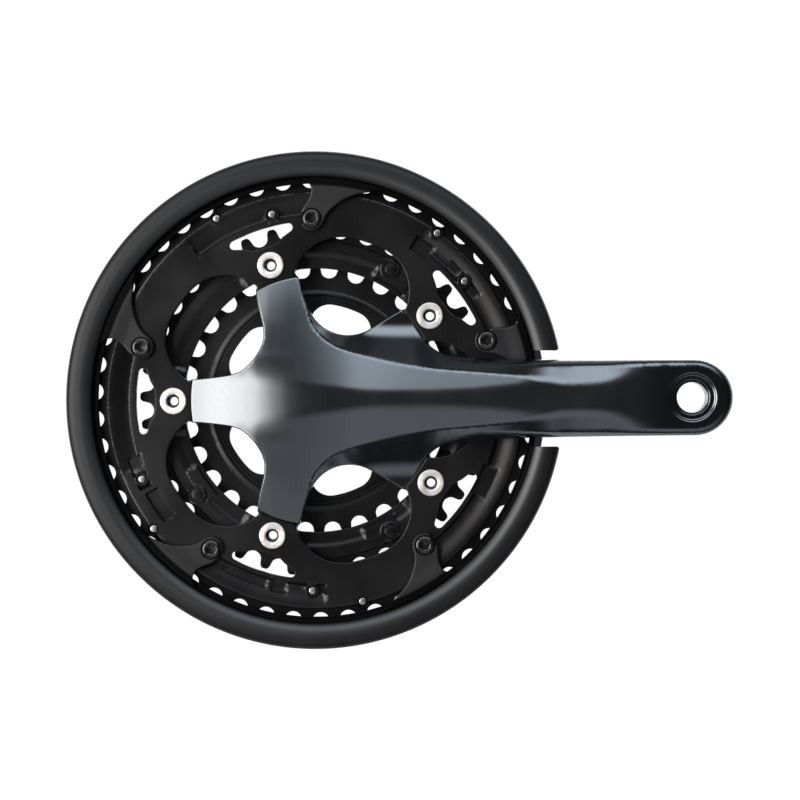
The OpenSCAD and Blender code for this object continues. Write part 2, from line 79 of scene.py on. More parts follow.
def circle(centre, r, step=0.6, clockwise=False):
    ring = arc(centre, r, 0, 360, step)[:-1]
    return ring[::-1] if clockwise else ring


def around(centre, radii, step=0.5):
    return [circle(centre, r, step) for r in radii]


def holes(r, angles, radius, step=0.45):
    return [circle(polar(r, a), radius, step, clockwise=True) for a in angles]


def apart(x, y, point):
    return np.hypot(x - point[0], y - point[1])


def spaced(points, step):
    """The polyline through the points, cut into equal steps between its corners."""
    points = np.asarray(points, float)
    out = [points[:1]]
    for a, b in zip(points[:-1], points[1:]):
        n = max(1, math.ceil(np.linalg.norm(b - a) / step))
        out.append(a + (b - a) * np.linspace(0, 1, n + 1)[1:, None])
    return np.vstack(out)


def curve(points, step=0.6):
    """A smooth curve through the points."""
    p = np.asarray(points, float)
    p = np.vstack([2 * p[0] - p[1], p, 2 * p[-1] - p[-2]])
    out = []
    for i in range(1, len(p) - 2):
        n = max(2, math.ceil(np.linalg.norm(p[i + 1] - p[i]) / step))
        t = np.linspace(0, 1, n, endpoint=False)[:, None]
        a = 2 * p[i]
        b = p[i + 1] - p[i - 1]
        c = 2 * p[i - 1] - 5 * p[i] + 4 * p[i + 1] - p[i + 2]
        d = -p[i - 1] + 3 * p[i] - 3 * p[i + 1] + p[i + 2]
        out.append(0.5 * (a + b * t + c * t**2 + d * t**3))
    return np.vstack(out + [p[-2:-1]])


def turned(points, degrees):
    c, s = math.cos(math.radians(degrees)), math.sin(math.radians(degrees))
    return np.asarray(points, float) @ np.array([[c, s], [-s, c]])


def mirrored(points):
    return np.asarray(points)[::-1] * (1, -1)


def joined(*parts):
    """One closed loop from parts laid end to end, without repeated points."""
    loop = np.vstack(parts)
    gap = np.linalg.norm(loop - np.roll(loop, 1, 0), axis=1)
    return loop[gap > 0.02]


def rise(t):
    """Smooth step from 0 to 1."""
    t = np.clip(t, 0, 1)
    return t * t * (3 - 2 * t)


def hinge(t, soft):
    """t where it is positive and 0 where it isn't, rounded over plus or minus soft."""
    return np.where(t > soft, t, np.where(t < -soft, 0, (t + soft) ** 2 / (4 * soft)))


def blend_max(a, b, soft):
    """The larger of a and b, with the crease between them rounded over soft."""
    return np.maximum(a, b) + np.clip(soft - np.abs(a - b), 0, None) ** 2 / (4 * soft)


def along(table, x):
    """A smooth function of x through a table's points, with no overshoot between them."""
    xs, ys = np.array(table, float).T
    step = np.diff(ys) / np.diff(xs)
    total = np.where(step[1:] * step[:-1] > 0, step[1:] + step[:-1], np.inf)
    slope = np.concatenate([step[:1], 2 * step[1:] * step[:-1] / total, step[-1:]])
    i = np.clip(np.searchsorted(xs, x) - 1, 0, len(xs) - 2)
    h = xs[i + 1] - xs[i]
    t = np.clip((x - xs[i]) / h, 0, 1)
    return (
        ys[i] * (1 + 2 * t) * (1 - t) ** 2
        + slope[i] * h * t * (1 - t) ** 2
        + ys[i + 1] * t**2 * (3 - 2 * t)
        - slope[i + 1] * h * t**2 * (1 - t)
    )


# ---- plane regions


def inside(points, loops):
    """Which points lie inside the loops, holes left out, by the even-odd rule."""
    a = np.vstack(loops)
    b = np.vstack([np.roll(loop, -1, 0) for loop in loops])
    low, high = np.minimum(a[:, 1], b[:, 1]), np.maximum(a[:, 1], b[:, 1])
    out = np.zeros(len(points), bool)
    order = np.argsort(points[:, 1])
    for rows in np.array_split(order, max(1, len(points) // 200)):
        if not len(rows):
            continue
        x, y = points[rows].T
        near = (high >= y.min()) & (low <= y.max())
        p, q = a[near], b[near]
        spans = (p[:, 1] > y[:, None]) != (q[:, 1] > y[:, None])
        height = np.where(q[:, 1] == p[:, 1], 1, q[:, 1] - p[:, 1])
        cross = p[:, 0] + (y[:, None] - p[:, 1]) * (q[:, 0] - p[:, 0]) / height
        out[rows] = (spans & (x[:, None] < cross)).sum(1) % 2 == 1
    return out


def outside_distance(points, loop):
    """Distance to the loop, negative inside it."""
    a, b = loop, np.roll(loop, -1, 0)
    d = b - a
    best = np.full(len(points), np.inf)
    for chunk in np.array_split(np.arange(len(points)), max(1, len(points) // 2000)):
        p = points[chunk][:, None, :]
        t = np.clip(((p - a) * d).sum(2) / (d * d).sum(1), 0, 1)
        best[chunk] = np.sqrt((((a + t[..., None] * d) - p) ** 2).sum(2).min(1))
    return np.where(inside(points, [loop]), -best, best)


def tree_of(points):
    tree = KDTree(len(points))
    for i, (x, y) in enumerate(points):
        tree.insert((x, y, 0), i)
    tree.balance()
    return tree


def far_from(points, others, least):
    """The points that are at least this far from all the others."""
    if not len(points) or not len(others):
        return points
    tree = tree_of(others)
    keep = [tree.find((x, y, 0))[2] >= least for x, y in points]
    return points[np.array(keep)]


def grid(loops, step):
    """Points of a triangular grid inside the loops."""
    low, high = np.vstack(loops).min(0), np.vstack(loops).max(0)
    rows = []
    for i, y in enumerate(np.arange(low[1] + step / 3, high[1], step * math.sqrt(3) / 2)):
        xs = np.arange(low[0] + (i % 2) * step / 2, high[0], step)
        rows.append(np.column_stack([xs, np.full(len(xs), y)]))
    points = np.vstack(rows)
    return points[inside(points, loops)]


def triangles(loops, points):
    """A triangulation of the region, its loops' points first and in order."""
    everything = np.vstack(list(loops) + [points])
    edges, start = [], 0
    for loop in loops:
        n = len(loop)
        edges += [(start + i, start + (i + 1) % n) for i in range(n)]
        start += n
    found = delaunay_2d_cdt([Vector(p) for p in everything], edges, [], 0, 1e-6, True)
    origin = [ids[0] if len(ids) else -1 for ids in found[3]]
    assert min(origin) >= 0, "loops of a plate cross each other"
    faces = np.array([[origin[i] for i in f] for f in found[2]])
    middle = everything[faces].mean(1)
    return everything, faces[inside(middle, loops)]


# ---- plates


def nearest_edge(points, loops):
    """Distance from each point to the nearest edge, and which edge vertex that is."""
    fence = np.vstack(loops)
    ahead = np.vstack([np.roll(loop, -1, 0) for loop in loops])
    behind = np.vstack([np.roll(loop, 1, 0) for loop in loops])
    tree = tree_of(fence)
    index = np.array([tree.find((x, y, 0))[1] for x, y in points])
    distance = np.full(len(points), np.inf)
    for other in (ahead, behind):
        a, d = fence[index], other[index] - fence[index]
        t = np.clip(((points - a) * d).sum(1) / (d * d).sum(1), 0, 1)
        distance = np.minimum(distance, np.linalg.norm(points - a - t[:, None] * d, axis=1))
    return distance, index


def edge_rows(loops, radii, turns):
    """Rows of points just inside the edges, closer together towards the edge."""
    rows, reaches = [], []
    for turn in turns:
        share = 1 - math.cos(math.radians(turn))
        for loop, radius in zip(loops, radii):
            reach = np.broadcast_to(radius, len(loop)) * share
            tangent = np.roll(loop, -1, 0) - np.roll(loop, 1, 0)
            tangent /= np.linalg.norm(tangent, axis=1)[:, None]
            rows.append(loop + np.stack([-tangent[:, 1], tangent[:, 0]], -1) * reach[:, None])
            reaches.append(reach)
    rows, reaches = np.vstack(rows), np.concatenate(reaches)
    distance, _ = nearest_edge(rows, loops)
    return rows[distance > 0.93 * reaches]


class Face:
    """One side of a plate: its height, its edge rounding, and lines its mesh follows."""

    def __init__(self, height, radii, lines=(), step=1.0, turns=(30, 60, 90)):
        self.height = height
        self.radii = radii
        self.lines = lines
        self.step = step
        self.turns = turns

    def mesh(self, loops, side):
        radii = np.concatenate([np.broadcast_to(r, len(l)) for r, l in zip(self.radii, loops)])
        rows = edge_rows(loops, self.radii, self.turns)
        fence = np.vstack(list(loops) + [rows])
        lines = np.vstack(self.lines) if len(self.lines) else np.zeros((0, 2))
        lines = lines[inside(lines, loops)]
        if len(lines):
            distance, index = nearest_edge(lines, loops)
            lines = far_from(lines[distance > 1.05 * radii[index]], fence, 0.07)
        points = far_from(grid(loops, self.step), np.vstack([fence, lines]), 0.62 * self.step)
        everything, faces = triangles(loops, np.vstack([rows, lines, points]))
        distance, index = nearest_edge(everything, loops)
        distance[: len(radii)] = 0
        index[: len(radii)] = np.arange(len(radii))
        radius = radii[index]
        short = np.clip(1 - distance / radius, 0, 1)
        drop = radius * (1 - np.sqrt(1 - short**2))
        u = self.height(everything[:, 0], everything[:, 1]) - side * drop
        if side < 0:
            faces = faces[:, ::-1]
        return np.column_stack([everything, u]), faces


def plate(name, loops, front, back, sharp=40):
    """A closed solid between two faces that share the same outline."""
    fv, ff = front.mesh(loops, 1)
    bv, bf = back.mesh(loops, -1)
    start, walls = 0, []
    for loop in loops:
        n = len(loop)
        i = start + np.arange(n)
        j = start + (np.arange(n) + 1) % n
        walls.append(np.column_stack([j, i, i + len(fv), j + len(fv)]))
        start += n
    faces = [*ff, *(bf + len(fv)), *np.vstack(walls)]
    return place(name, np.vstack([fv, bv]), faces, sharp)


def place(name, vertices, faces, sharp=40):
    """A mesh object from points in drawing coordinates."""
    v = np.asarray(vertices, float)
    world = np.column_stack([v[:, 0], -v[:, 2], v[:, 1]]) * MM
    mesh = bpy.data.meshes.new(name)
    mesh.from_pydata([tuple(p) for p in world], [], [tuple(int(i) for i in f) for f in faces])
    mesh.validate()
    return added(name, smoothed(mesh, sharp))


def smoothed(mesh, sharp):
    mesh.shade_smooth()
    mesh.set_sharp_from_angle(angle=math.radians(sharp))
    return mesh


def added(name, data):
    made = bpy.data.objects.new(name, data)
    bpy.context.scene.collection.objects.link(made)
    return made


# ---- crank arm

PEDAL = (170.0, 0.0)
PEDAL_HOLE_R = 6.8
PEDAL_END = (171.4, 0.0)
PEDAL_END_R = 17.0
# Steps round the pedal hole: depth, inner radius and width of the step's wall.
PEDAL_RECESS = [(0.9, 9.7, 1.5), (1.1, 6.9, 1.1)]
SPIDER_R = 57.0


def tab_outline(angle):
    """End of a spider arm, round its chainring bolt."""
    half = curve([(57.3, -9.6), (61, -9.1), (65, -8.3), (68.6, -7.2), (70.6, -5.4), (71.5, -2.8),
                  (71.7, 0)])
    return turned(np.vstack([half[:-1], mirrored(half)]), angle)


def arm_outline():
    top = [
        arc(PEDAL_END, PEDAL_END_R, 0, 90, 0.8),
        curve([(171.4, 17), (150, 17.1), (130, 17.3), (110, 17.6), (90, 18), (78, 18.4), (68, 19.1),
               (61.5, 20), (57.5, 21.3), (54.6, 23), (52.5, 24.7)], 0.8),
        tab_outline(36),
        spaced([(39.5, 41.1), (27, 33.6)], 0.6),
        arc((15.2, 49.2), 19.4, -54, -154),
        curve([(-2.9, 42), (-4.4, 46), (-5.9, 50.3), (-7.4, 56.3)]),
        tab_outline(108),
        curve([(-26.9, 50.2), (-26.3, 46), (-25.5, 42), (-24.5, 38), (-23.5, 34), (-23.2, 30),
               (-23.5, 27), (-25, 23), (-28, 18.5), (-32, 14.5), (-35, 12.8), (-40, 11.5),
               (-50, 10.3), (-56.1, 9.9)]),
    ]
    top = np.vstack(top)
    half_tab = tab_outline(180)
    half_tab = half_tab[: len(half_tab) // 2 + 1]
    return joined(top, half_tab, mirrored(np.vstack([top, half_tab])))


def ridge_outline():
    """Edge of the raised front: the arm's outer creases and the three long spider arms."""
    top = [
        curve([(200, 14.4), (165, 14.4), (155, 13.1), (146, 10.8), (138, 8), (130, 6.6), (120, 6.2),
               (111, 6.7), (104, 8.1), (97, 9.7), (90, 10.5), (80, 11.5), (70, 12.4), (60, 13.2),
               (50, 14.2), (40, 15.8), (30, 18), (20, 20.7), (14, 22.6), (10, 24.2), (6, 26.6),
               (3, 29.2), (0, 32.6), (-2, 36.6), (-3.3, 41), (-4.6, 45), (-6, 50), (-8, 62)], 1.5),
        spaced([(-28, 62), (-27.2, 50)], 1.5),
        curve([(-27.2, 50), (-26.5, 46), (-25.7, 42), (-24.7, 38), (-23.7, 34), (-23.4, 30),
               (-23.7, 27), (-25.2, 23), (-28.2, 18.7), (-32, 14.7), (-35, 13), (-40, 11.7),
               (-50, 10.6), (-62, 10.2)], 1.5),
    ]
    top = np.vstack(top)
    return joined(top, mirrored(top))


RIDGE = ridge_outline()
# Along x: height and half width of the front's middle strip, and the slopes of the
# shoulders beside it and of the bevels outside the ridge.
STRIP_HEIGHT = [
    (-75, 51.2), (-60, 54), (-50, 55.9), (-38, 58.6), (-30, 60.3), (-24, 61.45), (-18, 62.38),
    (-12, 63.12), (-6, 63.63), (2, 64.06), (12, 64.5), (40, 65.9), (70, 68.2), (100, 71),
    (140, 76.2), (157, 77.85), (164, 78), (200, 78)]
STRIP_WIDTH = [
    (-75, 10.4), (-30, 10), (-20, 8.75), (-10, 7.2), (0, 5.8), (10, 4.65), (20, 3.6), (30, 3),
    (50, 2.8), (70, 3.4), (85, 4.7), (100, 6), (120, 6.1), (200, 6.1)]
SHOULDER_SLOPE = [
    (-75, 0.2), (-40, 0.2), (-32, 0.26), (-26, 0.22), (-20, 0.19), (-10, 0.17), (0, 0.195),
    (10, 0.23), (22, 0.285), (45, 0.262), (60, 0.256), (90, 0.25), (100, 0.16), (108, 0), (200, 0)]
BEVEL_SLOPE = [
    (-75, 1.8), (0, 1.5), (12, 0.95), (20, 0.6), (28, 0.45), (44, 0.45), (52, 0.58), (60, 0.75),
    (80, 0.7), (92, 0.58), (102, 0.54), (110, 0.55), (120, 0.46), (130, 0.41), (137, 0.31),
    (143, 0.19), (152, 0.07), (162, 0), (200, 0)]
SHOULDER_SOFT = 2.2
# Beyond this x the crown goes on falling only on the spider arm opposite the crank.
LEVEL_X = -8.0
# Beyond this |y| the two upright spider arms droop.
DROOP_START, DROOP = 41, 0.0012
# The low deck between the spider's arms, outside their bevels.
DECK_U = 51.0
REAR_HEIGHT = [
    (-75, 47), (30, 47), (46, 47.5), (60, 50.9), (75, 54.6), (100, 59), (130, 62.8), (148, 65),
    (200, 65)]
BAR_EDGE_R = 3.4
STAR_EDGE_R = 0.7
PLAIN_EDGE_R = 0.35
# The hub's back: its face, the axle's blind bore, and the inner ring's tapped bosses.
HUB_R, HUB_BACK_U = 24.0, 45.6
AXLE_R, AXLE_END_U = 12.0, 56.0
BOSS_R = 6.8
TAPPED_R, TAPPED_END_U = 4.0, 47.9


def arm_front(x, y):
    a = np.abs(y)
    level = 0.6 * rise((a - 8.5) / 12.5) + 0.4 * rise((a - 20) / 18)
    crown_x = np.where(x < LEVEL_X, x + (LEVEL_X - x) * level, x)
    crown = along(STRIP_HEIGHT, crown_x)
    crown = crown - along(SHOULDER_SLOPE, x) * hinge(a - along(STRIP_WIDTH, x), SHOULDER_SOFT)
    crown = crown - DROOP * np.clip(a - DROOP_START, 0, None) ** 2
    # Bevels outside the ridge, down to the deck.
    ridge_soft = 0.3 + 2.2 * rise((x - 88) / 22)
    deck_soft = 0.6 + 2.6 * rise((x - 14) / 12)
    beyond = outside_distance(np.column_stack([x, y]), RIDGE)
    bevelled = crown - along(BEVEL_SLOPE, x) * hinge(beyond, ridge_soft)
    whole = blend_max(bevelled, np.full(len(x), DECK_U), deck_soft)
    # The spider's raised front has a round end, above the outer ring's seats.
    r = np.hypot(x, y)
    end_drop = STAR_EDGE_R * 0.7
    near_end = np.clip(1 - (SPIDER_R - r) / end_drop, 0, 1)
    ended = whole - end_drop * (1 - np.sqrt(np.clip(1 - near_end**2, 0, 1)))
    on_bar = (x > 50) & (a < 0.47 * x)
    seat = (r > SPIDER_R + 0.03) & ~on_bar
    whole = np.where(on_bar, whole, ended)
    pedal = apart(x, y, PEDAL)
    recess = sum(depth * (1 - rise((pedal - low) / wall)) for depth, low, wall in PEDAL_RECESS)
    return np.where(seat, OUTER_BACK_U, whole - recess)


def arm_back(x, y):
    r = np.hypot(x, y)
    u = along(REAR_HEIGHT, x)
    u = np.where(r < HUB_R, HUB_BACK_U, u)
    for angle in ARM_ANGLES:
        d = apart(x, y, polar(SMALL_BOLT_R, angle))
        u = np.where(d < BOSS_R, INNER_FRONT_U, u)
        u = np.where(d < TAPPED_R, TAPPED_END_U, u)
    return np.where(r < AXLE_R, AXLE_END_U, u)


def both_sides(*radii):
    """Radii just inside and just outside each upright step."""
    return [r + d for r in radii for d in (-0.05, 0.05)]


def make_crank_arm():
    outline = arm_outline()
    loops = [outline, circle(PEDAL, PEDAL_HOLE_R, 0.45, clockwise=True)]
    loops += holes(BOLT_R, ARM_ANGLES, RING_HOLE_R)
    x, y = outline.T
    on_bar = rise((x - 56) / 20)
    on_star = (np.hypot(x, y) < SPIDER_R - 0.2) * (1 - on_bar)
    edge = PLAIN_EDGE_R + (STAR_EDGE_R - PLAIN_EDGE_R) * on_star
    edge = edge + on_bar * (BAR_EDGE_R - edge)
    front_radii = [edge, 0.05] + [0.3] * len(ARM_ANGLES)
    back_radii = [0.5 + 1.3 * on_bar, 0.6] + [0.3] * len(ARM_ANGLES)
    front_lines = [spaced(RIDGE, 0.7)]
    for angle in ARM_ANGLES:
        for r in (55.9, 56.4, 56.75, 56.93, SPIDER_R, 57.06):
            front_lines.append(arc((0, 0), r, angle - 12, angle + 12, 0.5))
    front_lines += around(PEDAL, (7.1, 7.45, 7.8, 8.05, 9.7, 10.0, 10.3, 10.6, 10.9, 11.25))
    strip_x = np.arange(-55, 106, 0.7)
    for side in (-1, 1):
        front_lines.append(np.column_stack([strip_x, side * along(STRIP_WIDTH, strip_x)]))
    front = Face(arm_front, front_radii, front_lines, step=0.75, turns=(12, 25, 40, 55, 72, 90))
    back_lines = around((0, 0), both_sides(AXLE_R, HUB_R))
    for angle in ARM_ANGLES:
        back_lines += around(polar(SMALL_BOLT_R, angle), both_sides(TAPPED_R, BOSS_R), 0.6)
    back = Face(arm_back, back_radii, back_lines, step=1.6)
    return plate("crank_arm_forged", loops, front, back, sharp=38)


# ---- chainrings

CHAIN_PITCH = 12.7
ROLLER_SEAT_R = 3.95
TIP_RISE = 2.3


def pitch_radius(teeth):
    return CHAIN_PITCH / 2 / math.sin(math.pi / teeth)


def teeth_outline(teeth, phase):
    """The toothed edge: a roller seat, a flank and a tip land for every pitch."""
    pr = pitch_radius(teeth)
    half = 180 / teeth
    seat = arc((pr, 0), ROLLER_SEAT_R, 238, 122, 0.55)
    tip = np.array([[2.2, 1.25], [1.1, 2.15]])
    before = [polar(pr + d, -half) + turned([0, w], -half) for d, w in tip]
    after = [polar(pr + d, half) - turned([0, w], half) for d, w in tip[::-1]]
    land = polar(pr + TIP_RISE, -half)
    space = np.vstack([land, before, seat, after])
    loop = np.vstack([turned(space, phase + 360 / teeth * k) for k in range(teeth)])
    return spaced(np.vstack([loop, loop[:1]]), 0.7)[:-1]


def bearing(v, near):
    """Direction of v in degrees, in the turn that lies nearest."""
    a = math.degrees(math.atan2(v[1], v[0]))
    return a - 360 * round((a - near) / 360)


def inner_contour(base_r, reach, corner_r, corner_a):
    """Inner edge of a ring: bolt tabs that reach in to base_r, and round-cornered gaps."""
    c = reach - corner_r
    meet = math.degrees(math.acos((c**2 + base_r**2 - corner_r**2) / (2 * c * base_r)))
    parts = []
    for g in GAP_ANGLES:
        low, high = polar(c, g - corner_a), polar(c, g + corner_a)
        start = polar(base_r, g - corner_a - meet) - low
        end = polar(base_r, g + corner_a + meet) - high
        a0, a1 = bearing(start, g - corner_a - 90), bearing(end, g + corner_a + 90)
        parts += [arc(low, corner_r, a0, g - corner_a),
                  arc((0, 0), reach, g - corner_a, g + corner_a),
                  arc(high, corner_r, g + corner_a, a1),
                  arc((0, 0), base_r, g + corner_a + meet, g + 72 - corner_a - meet)]
    return joined(*parts)[::-1]


def in_sector(x, y, centre, half, soft):
    """1 inside a sector of the given half angle, falling to 0 over soft degrees."""
    off = (np.degrees(np.arctan2(y, x)) - centre + 180) % 360 - 180
    return rise((half - np.abs(off)) / soft + 0.5)


def band(r, low, high, soft):
    """1 between the two radii, falling to 0 over soft."""
    return rise((r - low) / soft + 0.5) * rise((high - r) / soft + 0.5)


def tooth_bevel(r, teeth):
    """How far a tooth's face falls back towards its tip."""
    tip = pitch_radius(teeth) + TIP_RISE
    return 0.25 * np.clip(r - (tip - 2.2), 0, None)


def spoke(a, low, high, step=0.6):
    return spaced([polar(low, a), polar(high, a)], step)


def bolt_window(angle):
    """The window outboard of a chainring bolt: a V towards the bolt, with round ends."""
    end_r, end_turn, end_radius = 80, 9.4, 2
    half = joined(
        arc((0, 0), end_r + end_radius, 0, end_turn, 0.9),
        arc(polar(end_r, end_turn), end_radius, end_turn, 162, 0.3),
        spaced([(77, 13.7), (75.6, 9.3)], 0.6),
        curve([(75.6, 9.3), (74.4, 7.2), (73.7, 5.6), (73.4, 3), (73.4, 0)]))
    return turned(joined(half, mirrored(half)[1:-1]), angle)[::-1]


OUTER_PINS = [
    (118.2, 94.6), (102.8, 87.3), (53.5, 94.6), (38.2, 87.3), (218.1, 94.6), (204.1, 87.3),
    (282.8, 94.6), (268.7, 87.3)]
MIDDLE_PINS = [(60, 69.2), (218, 70), (299, 69.4)]
DROP_PIN = (0, 89)
PIN_R = 1.6
MIDDLE_PIN_R = 2.6
GUARD_SCREW_R = 83.0
GUARD_ANGLES = tuple(a - 17.3 for a in ARM_ANGLES)

# Shift pockets pressed into the outer ring: middle angle, half angle, inner and outer radius.
POCKETS = [
    (38.7, 6.4, 85.8, 89.5), (54.6, 3.1, 81.5, 88.5), (202, 5, 84.4, 90.2), (213.6, 5, 82.6, 88.9),
    (248, 6.8, 84.8, 88.8), (258.6, 2.2, 84.2, 89.8), (334, 4.8, 82.4, 89.4)]
POCKET_U = 51.5
OUTER_RIM_R = 95
# The dish outside each bolt window: its first and last angle (one is longer), inner
# radius, depth, and the degrees its end walls take.
DISHES = [(a - 19.4, a + (29 if a == 324 else 20.5)) for a in ARM_ANGLES]
DISH_R, DISH_DEPTH, DISH_WALL = 83.8, 1.7, 0.7
# An outer ring's pin stands in a well on a pad: radius, width of the wall, and height.
PAD_R, PAD_WALL, PAD_RISE = 3, 0.6, 1.4
WELL_R, WELL_WALL, WELL_DEPTH = 2.6, 0.3, 1.0


def outer_front(x, y):
    r = np.hypot(x, y)
    u = OUTER_FRONT_U - 0.9 * rise((r - OUTER_RIM_R) / 0.7) - tooth_bevel(r, 50)
    dish = np.zeros(len(r))
    for start, end in DISHES:
        dish = np.maximum(dish, in_sector(x, y, (start + end) / 2, (end - start) / 2, DISH_WALL))
    u = u - dish * DISH_DEPTH * rise((r - DISH_R) / 1.6) * rise((OUTER_RIM_R - r) / 9.5)
    for middle, half, low, high in POCKETS:
        pocket = in_sector(x, y, middle, half, 0.5) * band(r, low, high, 0.6)
        u = u + (POCKET_U - u) * pocket
    for a, pr in OUTER_PINS:
        d = apart(x, y, polar(pr, a))
        pad = OUTER_FRONT_U - PAD_RISE * rise((d - PAD_R) / PAD_WALL)
        u = np.where(d < PAD_R + PAD_WALL, np.maximum(u, pad), u)
        u = u - WELL_DEPTH * rise((WELL_R - d) / WELL_WALL)
    return u


def outer_back(x, y):
    """A shift ramp is raised beside every other pin."""
    r = np.hypot(x, y)
    u = OUTER_BACK_U + 0.3 * rise((r - 95.5) / 0.5) + tooth_bevel(r, 50)
    for a, _ in OUTER_PINS[::2]:
        ramp = in_sector(x, y, a + 4, 3.2, 0.8) * band(r, 91.5, 99, 0.8)
        u = u + 0.8 * ramp
    return u


def make_outer_ring():
    loops = [teeth_outline(50, 4.6), inner_contour(57.1, 76, 22, 5)]
    loops += [bolt_window(a) for a in ARM_ANGLES]
    loops += holes(BOLT_R, ARM_ANGLES, RING_HOLE_R) + holes(GUARD_SCREW_R, GUARD_ANGLES, 2.0)
    loops += [circle(polar(r, a), PIN_R, 0.4, clockwise=True) for a, r in OUTER_PINS + [DROP_PIN]]
    # Edge rounding of the teeth, the inner edge, the windows and large holes, the pin holes.
    radii = [0.12, 0.45] + [0.2] * 15 + [0.05] * 9
    lines = around((0, 0), (DISH_R, 84.4, 85, 85.5, 94.95, 95.2, 95.5, 95.75), 0.9)
    for middle, half, low, high in POCKETS:
        for d in (-0.25, 0.25):
            for a in (middle - half - d, middle + half + d):
                lines.append(spoke(a, low, high))
            for r in (low + d, high + d):
                lines.append(arc((0, 0), r, middle - half, middle + half))
    for start, end in DISHES:
        for end_turn in (start, end):
            for a in (end_turn - DISH_WALL / 2, end_turn + DISH_WALL / 2):
                lines.append(spoke(a, 83.9, 94.6, 0.7))
    for a, r in OUTER_PINS:
        lines += around(polar(r, a), (1.9, WELL_R - WELL_WALL, WELL_R, PAD_R, 3.55), 0.4)
    front = Face(outer_front, radii, lines, step=1.3)
    back_lines = around((0, 0), (95.45, 95.75, 96.05), 1.0)
    back = Face(outer_back, radii, back_lines, step=1.7, turns=(45, 90))
    return plate("outer_ring", loops, front, back)


def middle_front(x, y):
    r = np.hypot(x, y)
    u = MIDDLE_FRONT_U - 1.0 * rise((r - 73.0) / 0.5) - tooth_bevel(r, 39)
    for g in GAP_ANGLES:
        dish = in_sector(x, y, g, 22.5, 1.0)
        u = u - dish * (0.8 * band(r, 55, 66.8, 3.2) + 0.35 * band(r, 55, 62.5, 2.5))
    # Each pin stands on a round boss, and the boss on a longer pad.
    for a, pr in MIDDLE_PINS:
        d = apart(x, y, polar(pr, a))
        pad = in_sector(x, y, a - 2.5, 7.5, 1.2) * band(r, 62.6, 68.6, 0.9)
        u = np.maximum(u, 45.6 + 1.5 * pad)
        u = np.maximum(u, 47.9 - 1.9 * rise((d - 3.9) / 1.1))
    return u


def middle_back(x, y):
    return MIDDLE_BACK_U + tooth_bevel(np.hypot(x, y), 39)


def make_middle_ring():
    loops = [teeth_outline(39, 35.35), inner_contour(56.4, 60.7, 3.5, 25)]
    loops += holes(BOLT_R, ARM_ANGLES, RING_HOLE_R)
    loops += [circle(polar(r, a), MIDDLE_PIN_R, 0.4, clockwise=True) for a, r in MIDDLE_PINS]
    radii = [0.12, 0.35] + [0.2] * 5 + [0.05] * 3
    lines = around((0, 0), (65.4, 66.4, 67.4, 68.3, 72.95, 73.25, 73.55), 0.9)
    for a, r in MIDDLE_PINS:
        lines += around(polar(r, a), (3.9, 4.3, 4.7, 5.0), 0.6)
        lines += [arc((0, 0), d, a - 10, a + 5) for d in (62.2, 63, 68.2, 69)]
        lines += [spoke(a + side, 62.4, 68.8) for side in (-10.6, -9.4, 4.4, 5.6)]
    front = Face(middle_front, radii, lines, step=1.4)
    back = Face(middle_back, radii, step=2.0, turns=(45, 90))
    return plate("middle_ring", loops, front, back)


# The inner ring is thinner outside this radius, by the step on each side.
INNER_STEP_R, INNER_STEP = 50.1, 0.5


def inner_front(x, y):
    """A shallow groove is turned inside the step."""
    r = np.hypot(x, y)
    u = INNER_FRONT_U - INNER_STEP * rise((r - INNER_STEP_R) / 0.5) - tooth_bevel(r, 30)
    return u - 0.5 * band(r, 46.8, 48.6, 0.35)


def inner_back(x, y):
    r = np.hypot(x, y)
    return INNER_BACK_U + INNER_STEP * rise((r - INNER_STEP_R) / 0.5) + tooth_bevel(r, 30)


def make_inner_ring():
    loops = [teeth_outline(30, 0.4), inner_contour(29.5, 44.8, 9, 8.6)]
    loops += holes(SMALL_BOLT_R, ARM_ANGLES, 4.15)
    radii = [0.12, 0.3] + [0.15] * 5
    step_rs = (50.05, 50.35, 50.65)
    front = Face(inner_front, radii, around((0, 0), (46.6, 46.98, 48.42, 48.8) + step_rs, 0.9),
                 step=1.5)
    back = Face(inner_back, radii, around((0, 0), step_rs, 1.0), step=2.0, turns=(45, 90))
    return plate("inner_ring", loops, front, back)


# ---- chain guard

GUARD_INNER_R = 100.4
GUARD_R = 113.75
GUARD_GAP = 21.9
GUARD_TAB_U = 56.3
GUARD_SHARP = 42
# The rim's section as (r, u), from its thin inner lip over the crown and back underneath.
GUARD_SECTION_TOP = [
    (98.9, 54.4), (99.1, 54.75), (101, 54.8), (101.6, 55.3), (101.8, 56.4), (102.1, 57.4),
    (102.8, 58.2), (103.8, 58.9), (105, 59.45), (106.3, 59.75), (107.8, 59.8), (109.5, 59.65),
    (111, 59.3), (112.2, 58.7), (113.1, 57.8), (113.6, 56.4), (GUARD_R, 54.6)]
GUARD_SECTION_SIDE = [(GUARD_R, 54.6), (GUARD_R, 52.6), (GUARD_R, 51.4), (113.6, 50.95)]
GUARD_SECTION_BACK = [
    (113.3, 50.9), (112.2, 50.95), (112.0, 51.4), (111.9, 52.8), (110.8, 55.2), (109, 56.8),
    (106.8, 57.5), (104.2, 57.1), (102.6, 56.2), (101.9, 54.9), (100.6, 54.2), (99.2, 54.15)]


